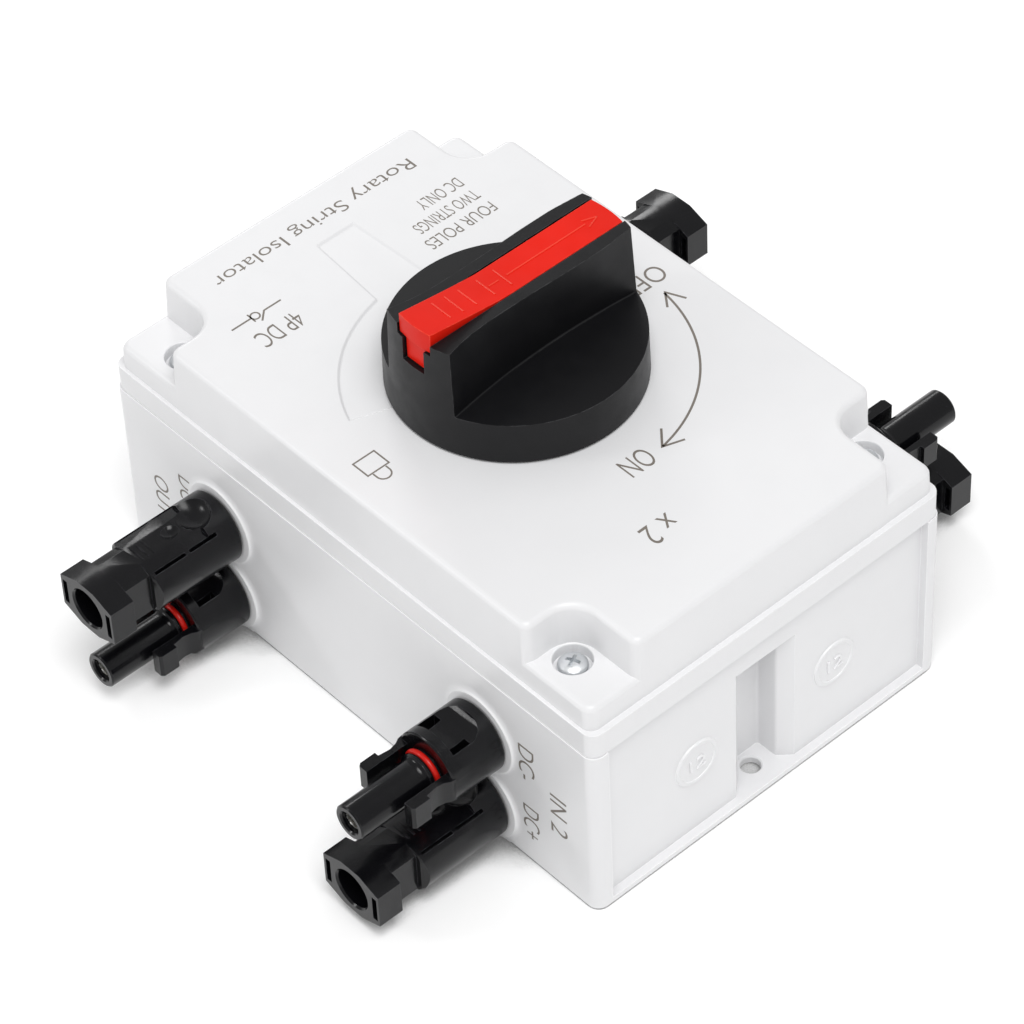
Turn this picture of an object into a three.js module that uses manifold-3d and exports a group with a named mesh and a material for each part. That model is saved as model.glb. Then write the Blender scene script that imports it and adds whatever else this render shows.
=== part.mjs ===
// Rotary DC isolator in a moulded enclosure, lying on its back.
// Units are millimetres. The origin is the centre of the rear face, +Z points out of
// the cover, +Y towards the incoming side and +X to the right when facing the cover.
import * as THREE from "three";
import { mergeVertices } from "three/addons/utils/BufferGeometryUtils.js";
import Module from "manifold-3d";

const wasm = await Module();
wasm.setup();

// ---- Driving dimensions ----
const GAP = 0.3; // clearance between neighbouring pieces
const WIDTH = 105.2;
const LENGTH = 160;
const CORNER_RADIUS = 3;
const WALL = 3.2;
const FLOOR = 2.6;
const PARTING_Z = 49.3;
const LEDGE_Z = 56.3;
const LID_TOP_Z = 73.6;
const LID_INSET_X = 0.8;
const LID_INSET_Y = 1.5;
const LID_ROOF = 2.8;
const SIDE = WIDTH / 2;
const END = LENGTH / 2;

// End walls, their mounting channels and their knock-outs
const PANEL_DEPTH = 2;
const PANEL_HALF = 48;
const SILL_Z = 2;
const CHANNEL_HALF = 5.8;
const CHANNEL_BACK_Y = 69.6;
const CHANNEL_FLARE_Y = 75.2;
const CHANNEL_MOUTH_HALF = 9;
const CHANNEL_TOP_Z = 41.5;
const MOUNT_HOLE_R = 2.4;
const MOUNT_HOLE_Y = 73.4;
const KNOCKOUT_R = 6.25;
const KNOCKOUT_X = 21;
const KNOCKOUT_Z = 23.5;

// Lid corners and lid screws
const NOTCH_X = 37.7;
const NOTCH_Y = 58.8;
const NOTCH_FLOOR_Z = 62.8;
const NOTCH_RADIUS = 6.5;
const SCREW_X = 43.3;
const SCREW_Y = 64.4;
const WELL_R = 4.5;
const WELL_Z = 59.9;
const SCREW_HEAD_R = 3.4;
const SCREW_HEAD_HEIGHT = 2.4;
const SCREW_R = 2;
const SCREW_TIP_Z = 31;
const SCREW_BOSS_R = 6.3;

// Knob, slider and spindle
const KNOB_R = 29.5;
const KNOB_FOOT_Z = 74;
const KNOB_DISC_Z = 85;
const KNOB_TOP_Z = 103;
const BAR_R = 28.9;
const BAR_HALF_WIDE = 10.2;
const BAR_HALF_NARROW = 8.8;
const SLIDER_HALF = 5;
const SLIDER_R = 28.4;
const SLIDER_Z = 100.6;
const SLIDER_FLAT_Z = 102.9;
const SLIDER_TOP_Z = 105.8;
const SLIDER_RAMP_X = 6;
const WEB_HALF = 3.1;
const WEB_Z = 94.3;
const WEB_START_X = 2;
const SHACKLE_HOLE_R = 2.5;
const SHACKLE_HOLE_X = 20.5;
const SHACKLE_HOLE_Z = 97.5;
const SPINDLE_R = 4;
const SPINDLE_SQUARE = 5.6;
const SPINDLE_TOP_Z = 85.5;
const SEAL_POCKET_R = 6.5;
const SEAL_Z = 70.9;

// Switch stack
const FOOT_Z = 3;
const FOOT_TOP_Z = 6.5;
const DECK_HALF = 26;
const DECK_HEIGHT = 9.5;
const DECK_COUNT = 4;
const DECK_BORE_R = 15.6;
const BLADE_HALF_LENGTH = 14.5;
const BLADE_HALF_WIDTH = 3.2;
const BLADE_THICKNESS = 1.6;
const ROTOR_SQUARE = 8;
const TERMINAL_START_Y = 15.4;
const CLAMP_Y = 26.4;
const CLAMP_LENGTH = 8;
const CLAMP_HALF_X = 4.3;
const MECHANISM_HALF = 23;
const MECHANISM_HEIGHT = 12;
const MECHANISM_BORE_R = 13;

// Plug-in connectors: distances along each connector's own axis start at the wall's face
const CONNECTOR_Y = 44;
const CONNECTOR_LOW_Z = 9.8;
const CONNECTOR_HIGH_Z = 31;
const COLLAR_R = 10.4;
const COLLAR_RISE = 0.8;
const RING_R = 9.1;
const RING_END = 4.2;
const NECK_R = 5.2;
const NECK_END = -10.6;
const NUT_APOTHEM = 6.9;
const NUT_THICKNESS = 5;
const TUBE_R = 4.4;
const TUBE_BORE_R = 2.75;
const TUBE_TIP = 37.9;
const TUBE_BAND_START = 13;
const TUBE_BAND_END = 15.7;
const FINGER_HALF = 3.2;
const FINGER_TIP = 27.4;
const SEAL_RING_R = 4.95;
const SEAL_WIRE_R = 0.7;
const SEAL_RING_AT = 16.8;
const SOCKET_R = 5;
const SOCKET_TIP = 38.9;
const SOCKET_HEAD_START = 32.4;
const SOCKET_WING_HALF = 9;
const SOCKET_WING_HEIGHT = 4.5;
const LEAD_R = 1.9;
const LEAD_BORE_R = 2.4;
const PIN_R = 1.6;

// ---- Solids from three.js geometries ----
function solidOf(geometry) {
  geometry.deleteAttribute("normal");
  geometry.deleteAttribute("uv");
  const merged = mergeVertices(geometry, 1e-4);
  const mesh = new wasm.Mesh({
    numProp: 3,
    vertProperties: merged.attributes.position.array,
    triVerts: new Uint32Array(merged.index.array),
  });
  return new wasm.Manifold(mesh);
}

function box(x, y, z) {
  const size = [x, y, z].map(([low, high]) => high - low);
  const middle = [x, y, z].map(([low, high]) => (high + low) / 2);
  return solidOf(new THREE.BoxGeometry(...size).translate(...middle));
}

function upright(radius, z, x = 0, y = 0, sides = 16) {
  const geometry = new THREE.CylinderGeometry(radius, radius, z[1] - z[0], sides);
  return solidOf(geometry.rotateX(Math.PI / 2).translate(x, y, (z[0] + z[1]) / 2));
}

function alongX(radius, x, y = 0, z = 0, sides = 16) {
  const geometry = new THREE.CylinderGeometry(radius, radius, x[1] - x[0], sides);
  return solidOf(geometry.rotateZ(Math.PI / 2).translate((x[0] + x[1]) / 2, y, z));
}

function alongY(radius, y, x = 0, z = 0, sides = 16) {
  const geometry = new THREE.CylinderGeometry(radius, radius, y[1] - y[0], sides);
  return solidOf(geometry.translate(x, (y[0] + y[1]) / 2, z));
}

function prism(shape, z, curveSegments = 5) {
  const settings = { depth: z[1] - z[0], bevelEnabled: false, curveSegments };
  return solidOf(new THREE.ExtrudeGeometry(shape, settings).translate(0, 0, z[0]));
}

// A closed ring turned about Z, from its half section as [radius, height] points.
function turned(section, sides = 16) {
  const points = section.map(([radius, height]) => new THREE.Vector2(radius, height));
  return solidOf(new THREE.LatheGeometry(points, sides).rotateX(Math.PI / 2));
}

function joined(...solids) {
  return solids.reduce((sum, next) => sum.add(next));
}

function mirroredPairs(make) {
  return joined(...[-1, 1].flatMap((sx) => [-1, 1].map((sy) => make(sx, sy))));
}

// The stretch from low to high measured outwards on the side given by sign.
function outward(sign, low, high) {
  return sign > 0 ? [low, high] : [-high, -low];
}

function roundedRectangle(halfX, halfY, radius) {
  const shape = new THREE.Shape();
  shape.absarc(halfX - radius, halfY - radius, radius, 0, Math.PI / 2);
  shape.absarc(radius - halfX, halfY - radius, radius, Math.PI / 2, Math.PI);
  shape.absarc(radius - halfX, radius - halfY, radius, Math.PI, 1.5 * Math.PI);
  shape.absarc(halfX - radius, radius - halfY, radius, 1.5 * Math.PI, 2 * Math.PI);
  return shape;
}

// ---- Materials ----
function material(color, roughness, metalness = 0) {
  return new THREE.MeshStandardMaterial({ color, roughness, metalness });
}

const ENCLOSURE_WHITE = 0xe9ebec;
const HANDLE_BLACK = 0x18181a;
const SLIDER_RED = 0xd21b12;
const SEAL_BLACK = 0x202022;
const SEAL_RED = 0xb5170f;
const ZINC = 0xc3c7cb;
const COPPER = 0xb8703f;
const SWITCH_GREY = 0x3a3d42;

// ---- The assembly ----
const isolator = new THREE.Group();

function add(name, solid, finish, parent = isolator) {
  const { numProp, numVert, vertProperties, triVerts } = solid.getMesh();
  const positions = new Float32Array(numVert * 3);
  for (let i = 0; i < numVert; i++) {
    positions.set(vertProperties.subarray(i * numProp, i * numProp + 3), i * 3);
  }
  const geometry = new THREE.BufferGeometry();
  geometry.setAttribute("position", new THREE.BufferAttribute(positions, 3));
  geometry.setIndex(new THREE.BufferAttribute(triVerts, 1));
  geometry.computeVertexNormals();
  const mesh = new THREE.Mesh(geometry, finish);
  mesh.name = name;
  parent.add(mesh);
  return mesh;
}

// ---- Enclosure ----
const CAVITY_X = SIDE - WALL;
const CAVITY_Y = END - PANEL_DEPTH - 2.8;
const CHANNEL_HOUSING_HALF = CHANNEL_HALF + 3;
const CHANNEL_HOUSING_Y = CHANNEL_BACK_Y - 3;
const CHANNEL_HOUSING_TOP_Z = CHANNEL_TOP_Z + 3;

// The seal runs round in the base's rim.
function sealRing(halfWidth, z) {
  const frame = (offset, heights) => {
    const x = SIDE - WALL / 2 + offset;
    const y = CAVITY_Y + 1.4 + offset;
    return box([-x, x], [-y, y], heights);
  };
  return frame(halfWidth, z).subtract(frame(-halfWidth, [z[0] - 1, z[1] + 1]));
}

// The pocket over a mounting hole, its mouth flared where it meets the panel.
function mountingChannel(sign) {
  const face = END - PANEL_DEPTH;
  const half = [
    [CHANNEL_HALF, CHANNEL_BACK_Y],
    [CHANNEL_HALF, CHANNEL_FLARE_Y],
    [CHANNEL_MOUTH_HALF, face],
    [CHANNEL_MOUTH_HALF, face + 1],
  ];
  const whole = [...half, ...half.map(([x, y]) => [-x, y]).reverse()];
  const shape = new THREE.Shape(whole.map(([x, y]) => new THREE.Vector2(x, sign * y)));
  return prism(shape, [SILL_Z, CHANNEL_TOP_Z]);
}

function endWallCuts(sign) {
  const panel = box(
    [-PANEL_HALF, PANEL_HALF],
    outward(sign, END - PANEL_DEPTH, END + 1),
    [SILL_Z, PARTING_Z + 1],
  );
  const hole = upright(MOUNT_HOLE_R, [-1, FLOOR + 1], 0, sign * MOUNT_HOLE_Y);
  return joined(panel, mountingChannel(sign), hole);
}

function knockout(signX, signY) {
  const face = END - PANEL_DEPTH;
  return alongY(KNOCKOUT_R, outward(signY, face - 1, face + 0.4), signX * KNOCKOUT_X, KNOCKOUT_Z);
}

function connectorSeats(radius, x, sides) {
  const heights = [CONNECTOR_LOW_Z, CONNECTOR_HIGH_Z];
  return joined(
    ...heights.map((z) =>
      mirroredPairs((sx, sy) =>
        alongX(radius, outward(sx, ...x), sy * CONNECTOR_Y, z, sides),
      ),
    ),
  );
}

function rearBase() {
  const outer = prism(roundedRectangle(SIDE, END, CORNER_RADIUS), [0, PARTING_Z], 3);
  const cavity = box([-CAVITY_X, CAVITY_X], [-CAVITY_Y, CAVITY_Y], [FLOOR, PARTING_Z + 1]);
  const housings = joined(
    ...[-1, 1].map((sign) =>
      box(
        [-CHANNEL_HOUSING_HALF, CHANNEL_HOUSING_HALF],
        outward(sign, CHANNEL_HOUSING_Y, CAVITY_Y + 1),
        [FLOOR - 1, CHANNEL_HOUSING_TOP_Z],
      ),
    ),
  );
  const bosses = mirroredPairs((sx, sy) =>
    upright(SCREW_BOSS_R, [FLOOR - 1, PARTING_Z], sx * SCREW_X, sy * SCREW_Y),
  );
  const screwHoles = mirroredPairs((sx, sy) =>
    upright(SCREW_R + GAP, [SCREW_TIP_Z - 2, PARTING_Z + 1], sx * SCREW_X, sy * SCREW_Y, 12),
  );
  const collars = connectorSeats(COLLAR_R, [SIDE - 1, SIDE + COLLAR_RISE], 16);
  const belowBack = box([-WIDTH, WIDTH], [-LENGTH, LENGTH], [-COLLAR_R, 0]);
  const necks = connectorSeats(NECK_R + GAP, [CAVITY_X - 1, SIDE + 2], 12);
  return joined(outer.subtract(cavity), housings, bosses, collars)
    .subtract(belowBack)
    .subtract(joined(endWallCuts(-1), endWallCuts(1)))
    .add(mirroredPairs(knockout))
    .subtract(joined(necks, screwHoles, sealRing(0.85, [PARTING_Z - 1.6, PARTING_Z + 1])));
}

function notch(signX, signY) {
  const shape = new THREE.Shape();
  const far = { x: SIDE + 5, y: END + 5 };
  shape.moveTo(far.x, far.y);
  shape.lineTo(NOTCH_X, far.y);
  shape.lineTo(NOTCH_X, NOTCH_Y + NOTCH_RADIUS);
  shape.absarc(NOTCH_X + NOTCH_RADIUS, NOTCH_Y + NOTCH_RADIUS, NOTCH_RADIUS, Math.PI, 1.5 * Math.PI);
  shape.lineTo(far.x, NOTCH_Y);
  const placed = shape
    .getPoints(5)
    .map((point) => new THREE.Vector2(point.x * signX, point.y * signY));
  return prism(new THREE.Shape(placed), [NOTCH_FLOOR_Z, LID_TOP_Z + 5]);
}

function frontCover() {
  const lowZ = PARTING_Z + GAP;
  const roofZ = LID_TOP_Z - LID_ROOF;
  const cornerRoofZ = WELL_Z - 2.4;
  const flange = prism(roundedRectangle(SIDE, END, CORNER_RADIUS), [lowZ, LEDGE_Z], 3);
  const block = prism(
    roundedRectangle(SIDE - LID_INSET_X, END - LID_INSET_Y, CORNER_RADIUS - 0.5),
    [LEDGE_Z - 1, LID_TOP_Z],
    3,
  );
  const innerY = CAVITY_Y - 0.6;
  const shelfX = NOTCH_X - WALL;
  const shelfY = NOTCH_Y - WALL;
  const hollow = joined(
    box([-CAVITY_X, CAVITY_X], [-innerY, innerY], [lowZ - 1, cornerRoofZ]),
    box([-CAVITY_X, CAVITY_X], [-shelfY, shelfY], [lowZ, roofZ]),
    box([-shelfX, shelfX], [-innerY, innerY], [lowZ, roofZ]),
  );
  const columns = mirroredPairs((sx, sy) =>
    upright(SCREW_BOSS_R, [lowZ, cornerRoofZ + 1], sx * SCREW_X, sy * SCREW_Y),
  );
  const wells = mirroredPairs((sx, sy) =>
    upright(WELL_R, [WELL_Z, LID_TOP_Z], sx * SCREW_X, sy * SCREW_Y),
  );
  const screwHoles = mirroredPairs((sx, sy) =>
    upright(SCREW_R + GAP, [lowZ - 1, WELL_Z + 1], sx * SCREW_X, sy * SCREW_Y, 12),
  );
  const spindleBoss = upright(SEAL_POCKET_R + 2.5, [roofZ - 5, roofZ + 1]);
  const spindleHole = upright(SPINDLE_R + GAP, [roofZ - 8, LID_TOP_Z + 1]);
  const sealPocket = upright(SEAL_POCKET_R, [SEAL_Z - GAP, LID_TOP_Z + 1]);
  return flange
    .add(block.subtract(mirroredPairs(notch)))
    .subtract(hollow)
    .add(columns)
    .add(spindleBoss)
    .subtract(joined(wells, screwHoles, spindleHole, sealPocket));
}

function coverScrew() {
  const headZ = WELL_Z + GAP;
  const topZ = headZ + SCREW_HEAD_HEIGHT;
  const body = turned(
    [
      [0, SCREW_TIP_Z],
      [SCREW_R * 0.4, SCREW_TIP_Z],
      [SCREW_R, SCREW_TIP_Z + 2.5],
      [SCREW_R, headZ],
      [SCREW_HEAD_R, headZ],
      [SCREW_HEAD_R, topZ - 1],
      [SCREW_HEAD_R * 0.6, topZ],
      [0, topZ],
    ],
    12,
  );
  const slot = [topZ - 1.6, topZ + 1];
  const arm = 2.2;
  const halfSlot = 0.5;
  return body
    .subtract(box([-arm, arm], [-halfSlot, halfSlot], slot))
    .subtract(box([-halfSlot, halfSlot], [-arm, arm], slot));
}

function buildEnclosure() {
  add("rear_base", rearBase(), material(ENCLOSURE_WHITE, 0.45));
  add("front_cover", frontCover(), material(ENCLOSURE_WHITE, 0.45));
  const sealZ = [PARTING_Z - 1.3, PARTING_Z];
  add("cover_gasket", sealRing(0.55, sealZ), material(SEAL_BLACK, 0.8));
  [-1, 1].forEach((sx, i) =>
    [-1, 1].forEach((sy, j) => {
      const screw = add("cover_screw_" + (2 * i + j + 1), coverScrew(), material(ZINC, 0.3, 1));
      screw.position.set(sx * SCREW_X, sy * SCREW_Y, 0);
    }),
  );
}

// ---- Knob, slider, seal and spindle ----
// A disc of the given radius kept only between two sides that may taper along X.
function barOutline(radius, halfAtMinusX, halfAtPlusX) {
  const at = (sign, half) => Math.asin(half / radius) * sign;
  const plus = at(1, halfAtPlusX);
  const minus = at(1, halfAtMinusX);
  const shape = new THREE.Shape();
  shape.absarc(0, 0, radius, -plus, plus);
  shape.absarc(0, 0, radius, Math.PI - minus, Math.PI + minus);
  return shape;
}

function knobBody() {
  const disc = turned(
    [
      [0, KNOB_FOOT_Z],
      [KNOB_R, KNOB_FOOT_Z],
      [KNOB_R - 0.3, KNOB_DISC_Z - 1],
      [KNOB_R - 1.3, KNOB_DISC_Z],
      [0, KNOB_DISC_Z],
    ],
    40,
  );
  const bar = prism(barOutline(BAR_R, BAR_HALF_NARROW, BAR_HALF_WIDE), [
    KNOB_DISC_Z - 2,
    KNOB_TOP_Z,
  ]);
  const slot = box(
    [-KNOB_R, KNOB_R],
    [-SLIDER_HALF - GAP, SLIDER_HALF + GAP],
    [SLIDER_Z - GAP, KNOB_TOP_Z + 1],
  );
  const webSlot = box(
    [WEB_START_X - GAP, KNOB_R],
    [-WEB_HALF - GAP, WEB_HALF + GAP],
    [WEB_Z - GAP, SLIDER_Z],
  );
  const half = SPINDLE_SQUARE / 2 + GAP;
  const socket = box([-half, half], [-half, half], [KNOB_FOOT_Z - 1, SPINDLE_TOP_Z + GAP]);
  return disc.add(bar).subtract(joined(slot, webSlot)).subtract(socket);
}

// The space above the slider: its top is level over the pointer and ramps up to the thumb end.
function aboveSlider() {
  const far = 2 * KNOB_R;
  const shape = new THREE.Shape();
  shape.moveTo(-far, SLIDER_FLAT_Z);
  shape.lineTo(SLIDER_RAMP_X, SLIDER_FLAT_Z);
  shape.lineTo(SLIDER_R, SLIDER_TOP_Z);
  shape.lineTo(far, SLIDER_TOP_Z + 1);
  shape.lineTo(far, SLIDER_TOP_Z + 5);
  shape.lineTo(-far, SLIDER_TOP_Z + 5);
  shape.closePath();
  const geometry = new THREE.ExtrudeGeometry(shape, { depth: 2 * far, bevelEnabled: false });
  return solidOf(geometry.rotateX(Math.PI / 2).translate(0, far, 0));
}

function lockSlider() {
  const outline = barOutline(SLIDER_R, SLIDER_HALF, SLIDER_HALF);
  const strip = prism(outline, [SLIDER_Z, SLIDER_TOP_Z]).subtract(aboveSlider());
  const web = box([WEB_START_X, SLIDER_R - 0.6], [-WEB_HALF, WEB_HALF], [WEB_Z, SLIDER_Z + 1]);
  const shackleHole = alongY(SHACKLE_HOLE_R, [-9, 9], SHACKLE_HOLE_X, SHACKLE_HOLE_Z, 12);
  return strip.add(web).subtract(shackleHole);
}

function spindle(lowZ) {
  const half = SPINDLE_SQUARE / 2;
  return joined(
    upright(SPINDLE_R, [lowZ, KNOB_FOOT_Z - 1]),
    box([-half, half], [-half, half], [KNOB_FOOT_Z - 2, SPINDLE_TOP_Z]),
  );
}

function buildHandle(spindleFootZ) {
  add("knob_body", knobBody(), material(HANDLE_BLACK, 0.45));
  add("lock_slider", lockSlider(), material(SLIDER_RED, 0.3));
  add("drive_spindle", spindle(spindleFootZ), material(ZINC, 0.35, 1));
  const seal = [
    [SPINDLE_R + 0.4, SEAL_Z],
    [SEAL_POCKET_R - 0.4, SEAL_Z],
    [SEAL_POCKET_R - 0.4, LID_TOP_Z - 0.4],
    [SPINDLE_R + 0.4, LID_TOP_Z - 0.4],
    [SPINDLE_R + 0.4, SEAL_Z],
  ];
  add("knob_seal", turned(seal), material(SEAL_BLACK, 0.8));
}

// ---- Switch stack ----
const DECK_PITCH = DECK_HEIGHT + GAP;
const STACK_Z = FOOT_TOP_Z + GAP;
const MECHANISM_Z = STACK_Z + DECK_COUNT * DECK_PITCH;
const CAM_Z = MECHANISM_Z + 6;

function deckMiddle(index) {
  return STACK_Z + index * DECK_PITCH + DECK_HEIGHT / 2;
}

function poleDeck(index) {
  const lowZ = STACK_Z + index * DECK_PITCH;
  const middle = deckMiddle(index);
  const body = box([-DECK_HALF, DECK_HALF], [-DECK_HALF, DECK_HALF], [lowZ, lowZ + DECK_HEIGHT]);
  const bore = upright(DECK_BORE_R, [lowZ - 1, lowZ + DECK_HEIGHT + 1]);
  const slots = box([-4.2, 4.2], [-DECK_HALF - 1, DECK_HALF + 1], [middle - 1.3, middle + 1.3]);
  return body.subtract(bore).subtract(slots);
}

function movingContact(index) {
  const z = [deckMiddle(index) - BLADE_THICKNESS / 2, deckMiddle(index) + BLADE_THICKNESS / 2];
  const arms = box(
    [-BLADE_HALF_LENGTH, BLADE_HALF_LENGTH],
    [-BLADE_HALF_WIDTH, BLADE_HALF_WIDTH],
    z,
  );
  const half = ROTOR_SQUARE / 2 + GAP;
  const squareHole = box([-half, half], [-half, half], [z[0] - 1, z[1] + 1]);
  return upright(8.2, z, 0, 0, 12).add(arms).subtract(squareHole);
}

function terminal(index, side) {
  const middle = deckMiddle(index);
  const tongue = box(
    [-3.8, 3.8],
    outward(side, TERMINAL_START_Y, CLAMP_Y + 1),
    [middle - 1, middle + 1],
  );
  const clampEnd = CLAMP_Y + CLAMP_LENGTH;
  const clamp = box(
    [-CLAMP_HALF_X, CLAMP_HALF_X],
    outward(side, CLAMP_Y, clampEnd),
    [middle - 3.9, middle + 3.9],
  );
  const screw = alongY(2.4, outward(side, clampEnd - 1, clampEnd + 1.6), 0, middle, 10);
  const slot = box(
    [-3, 3],
    outward(side, clampEnd + 0.8, clampEnd + 2),
    [middle - 0.4, middle + 0.4],
  );
  return joined(tongue, clamp, screw).subtract(slot);
}

function rotorShaft() {
  const half = ROTOR_SQUARE / 2;
  return joined(
    box([-half, half], [-half, half], [STACK_Z + 0.4, MECHANISM_Z]),
    upright(5.6, [MECHANISM_Z - 1, CAM_Z - GAP]),
  );
}

function mechanismHousing() {
  const topZ = MECHANISM_Z + MECHANISM_HEIGHT;
  const half = MECHANISM_HALF;
  return box([-half, half], [-half, half], [MECHANISM_Z, topZ])
    .subtract(upright(MECHANISM_BORE_R, [MECHANISM_Z - 1, topZ - 2.4]))
    .subtract(upright(SPINDLE_R + GAP, [topZ - 4, topZ + 1]));
}

function camPlate() {
  const z = [CAM_Z, CAM_Z + 2.4];
  const lug = (sign) => box(outward(sign, 10, 12), [-2.5, 2.5], [CAM_Z - 1.6, CAM_Z + 1]);
  return joined(upright(11.6, z, 0, 0, 20), lug(-1), lug(1));
}

// Quick-break spring: one open helix round the rotor's journal.
class SpringPath extends THREE.Curve {
  getPoint(t, target = new THREE.Vector3()) {
    const angle = t * 1.75 * 2 * Math.PI;
    const radius = 7.6;
    return target.set(
      radius * Math.cos(angle),
      radius * Math.sin(angle),
      MECHANISM_Z + 1.2 + 3.1 * t,
    );
  }
}

function tube(path, radius, sides, steps) {
  const section = new THREE.Shape();
  for (let i = 0; i < sides; i++) {
    const angle = (2 * Math.PI * i) / sides;
    const point = [radius * Math.cos(angle), radius * Math.sin(angle)];
    if (i === 0) section.moveTo(...point);
    else section.lineTo(...point);
  }
  section.closePath();
  return solidOf(new THREE.ExtrudeGeometry(section, { steps, extrudePath: path }));
}

function buildSwitch() {
  const foot = box([-DECK_HALF, DECK_HALF], [-DECK_HALF, DECK_HALF], [FOOT_Z, FOOT_TOP_Z]);
  add("switch_foot", foot, material(SWITCH_GREY, 0.5));
  for (let i = 0; i < DECK_COUNT; i++) {
    add("pole_deck_" + (i + 1), poleDeck(i), material(SWITCH_GREY, 0.5));
    add("moving_contact_" + (i + 1), movingContact(i), material(COPPER, 0.3, 1));
    add("terminal_in_" + (i + 1), terminal(i, 1), material(COPPER, 0.35, 1));
    add("terminal_out_" + (i + 1), terminal(i, -1), material(COPPER, 0.35, 1));
  }
  add("rotor_shaft", rotorShaft(), material(HANDLE_BLACK, 0.5));
  add("mechanism_housing", mechanismHousing(), material(SWITCH_GREY, 0.5));
  add("cam_plate", camPlate(), material(HANDLE_BLACK, 0.5));
  add("snap_spring", tube(new SpringPath(), 0.7, 5, 22), material(ZINC, 0.3, 1));
}

// ---- Plug-in connectors ----
// A curved side panel on the +Y or -Y flank of a connector, over +-angle from that flank.
function flank(side, angle, inner, outer, x) {
  const shape = new THREE.Shape();
  const middle = (side * Math.PI) / 2;
  shape.absarc(0, 0, outer, middle - angle, middle + angle);
  shape.absarc(0, 0, inner, middle + angle, middle - angle, true);
  const settings = { depth: x[1] - x[0], bevelEnabled: false, curveSegments: 3 };
  const geometry = new THREE.ExtrudeGeometry(shape, settings);
  // The outline's X becomes -Z and its depth becomes +X.
  return solidOf(geometry.rotateY(Math.PI / 2).translate(x[0], 0, 0));
}

function connectorRoot() {
  const start = COLLAR_RISE + GAP;
  return joined(
    alongX(NECK_R, [NECK_END, start + 1], 0, 0, 12),
    alongX(RING_R, [start, RING_END]),
  );
}

function tubeConnector() {
  const band = [TUBE_BAND_START, TUBE_BAND_END];
  const body = joined(
    connectorRoot(),
    alongX(6.2, [RING_END - 1, TUBE_BAND_END - 1]),
    alongX(RING_R, band),
    flank(1, 0.55, 7.2, RING_R - 0.05, [RING_END - 1, TUBE_BAND_END - 1]),
    flank(-1, 0.55, 7.2, RING_R - 0.05, [RING_END - 1, TUBE_BAND_END - 1]),
    alongX(SEAL_RING_R - SEAL_WIRE_R - 0.4, [TUBE_BAND_END - 1, TUBE_BAND_END + 3]),
    alongX(TUBE_R, [SEAL_RING_AT + SEAL_WIRE_R + GAP, TUBE_TIP]),
  );
  const fingers = joined(
    ...[-1, 1].map((side) =>
      joined(
        box([TUBE_BAND_END - 1, FINGER_TIP], outward(side, 6.3, 8), [-FINGER_HALF, FINGER_HALF]),
        box([FINGER_TIP - 5, FINGER_TIP - 1], outward(side, 7, 9), [-FINGER_HALF, FINGER_HALF]),
      ),
    ),
  );
  return joined(body, fingers)
    .subtract(alongX(TUBE_BORE_R, [TUBE_BAND_END, TUBE_TIP + 1], 0, 0, 12))
    .subtract(alongX(LEAD_BORE_R, [NECK_END - 1, TUBE_BAND_END + 1], 0, 0, 12));
}

function socketConnector() {
  const neckEnd = SOCKET_HEAD_START - 6.5;
  const height = SOCKET_WING_HEIGHT;
  const body = joined(
    connectorRoot(),
    alongX(7, [RING_END - 1, SOCKET_TIP]),
    flank(1, 0.6, 7.6, RING_R - 0.05, [RING_END - 1, neckEnd]),
    flank(-1, 0.6, 7.6, RING_R - 0.05, [RING_END - 1, neckEnd]),
    box([neckEnd - 2.6, neckEnd], [-8.6, 8.6], [-3, 3]),
    box(
      [SOCKET_HEAD_START, SOCKET_TIP],
      [-SOCKET_WING_HALF, SOCKET_WING_HALF],
      [-height, height],
    ),
  );
  const fingerWays = joined(
    ...[-1, 1].map((side) =>
      box([SOCKET_HEAD_START - 1, SOCKET_TIP + 1], outward(side, 7.1, 8.3), [-3.4, 3.4]),
    ),
  );
  return body
    .subtract(fingerWays)
    .subtract(alongX(SOCKET_R, [14, SOCKET_TIP + 1]))
    .subtract(alongX(LEAD_BORE_R, [NECK_END - 1, 15], 0, 0, 12));
}

function panelNut() {
  const start = -WALL - GAP;
  const circumradius = NUT_APOTHEM / Math.cos(Math.PI / 6);
  const hexagon = new THREE.CylinderGeometry(circumradius, circumradius, NUT_THICKNESS, 6);
  // Two of the six flats lie parallel to the rear face.
  hexagon.rotateY(Math.PI / 6).rotateZ(Math.PI / 2);
  hexagon.translate(start - NUT_THICKNESS / 2, 0, 0);
  return solidOf(hexagon).subtract(
    alongX(NECK_R + GAP, [start - NUT_THICKNESS - 1, start + 1], 0, 0, 12),
  );
}

function sealingRing() {
  const section = [];
  for (let i = 0; i <= 5; i++) {
    const angle = (-2 * Math.PI * i) / 5;
    section.push([
      SEAL_RING_R + SEAL_WIRE_R * Math.cos(angle),
      -SEAL_WIRE_R * Math.sin(angle),
    ]);
  }
  const points = section.map(([radius, height]) => new THREE.Vector2(radius, height));
  const ring = new THREE.LatheGeometry(points, 12).rotateZ(-Math.PI / 2);
  return solidOf(ring.translate(SEAL_RING_AT, 0, 0));
}

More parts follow.
